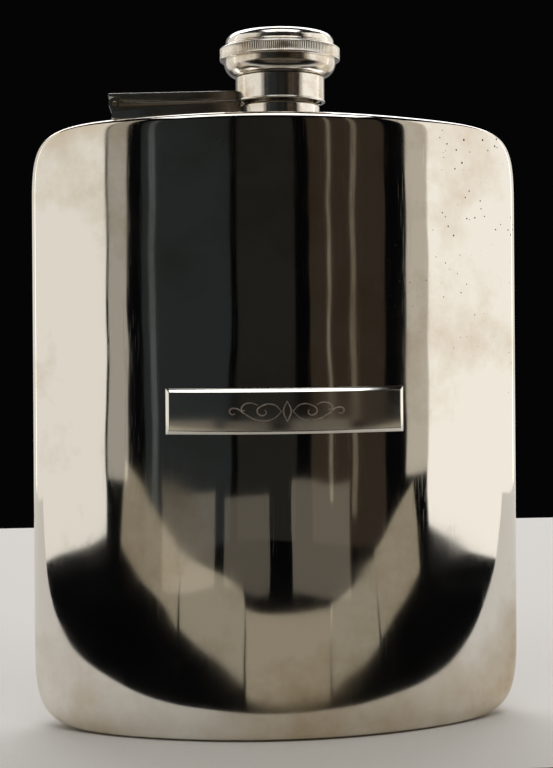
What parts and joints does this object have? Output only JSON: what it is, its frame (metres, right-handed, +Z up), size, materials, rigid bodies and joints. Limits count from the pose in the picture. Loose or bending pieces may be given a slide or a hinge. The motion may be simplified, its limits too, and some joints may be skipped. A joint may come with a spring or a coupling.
{
  "type": "hip flask",
  "caption": "Curved metal pocket flask with a reeded bayonet cap held captive on a hinged arm and a blank name plaque on its front.",
  "frame": {"origin": "centre of the base plane, straight below the axis of the neck", "axes": "+X to the flask's right as seen from the front, +Y from the bowed front to the hollow back, +Z up along the neck"},
  "size_m": [0.114, 0.0315, 0.159],
  "materials": {
    "silver_plate": "polished silver plate with light tarnish and fine scratches",
    "bright_silver": "bright polished silver plate",
    "nickel_silver": "plain inner metal",
    "pin_metal": "drawn wire",
    "cork": "natural cork"
  },
  "bodies": {
    "flask": {"front_shell": "silver_plate", "back_shell": "silver_plate", "plaque": "bright_silver", "neck_tube": "silver_plate", "neck_lip": "silver_plate", "neck_saddle": "nickel_silver", "neck_ring": "bright_silver", "bayonet_lugs": "nickel_silver", "hinge_bar": "silver_plate", "hinge_pin": "pin_metal"},
    "arm": {"hinge_arm": "silver_plate", "collar": "silver_plate", "collar_bead": "bright_silver", "swivel_bush": "nickel_silver"},
    "cap": {"cap_crown": "silver_plate", "grip_ring": "silver_plate", "cap_bowl": "silver_plate", "bayonet_tube": "nickel_silver", "retaining_ring": "pin_metal", "backing_disc": "nickel_silver", "cork_seal": "cork"}
  },
  "joints": [
    {"name": "arm_swing", "type": "hinge", "parent": "flask", "child": "arm", "pos_m": [-0.0376, 0.0006, 0.14245], "axis": [0, -1, 0], "range_deg": [0, 100]},
    {"name": "cap_twist", "type": "hinge", "parent": "arm", "child": "cap", "pos_m": [0, 0, 0.1467], "axis": [0, 0, -1], "range_deg": [0, 75]}
  ]
}
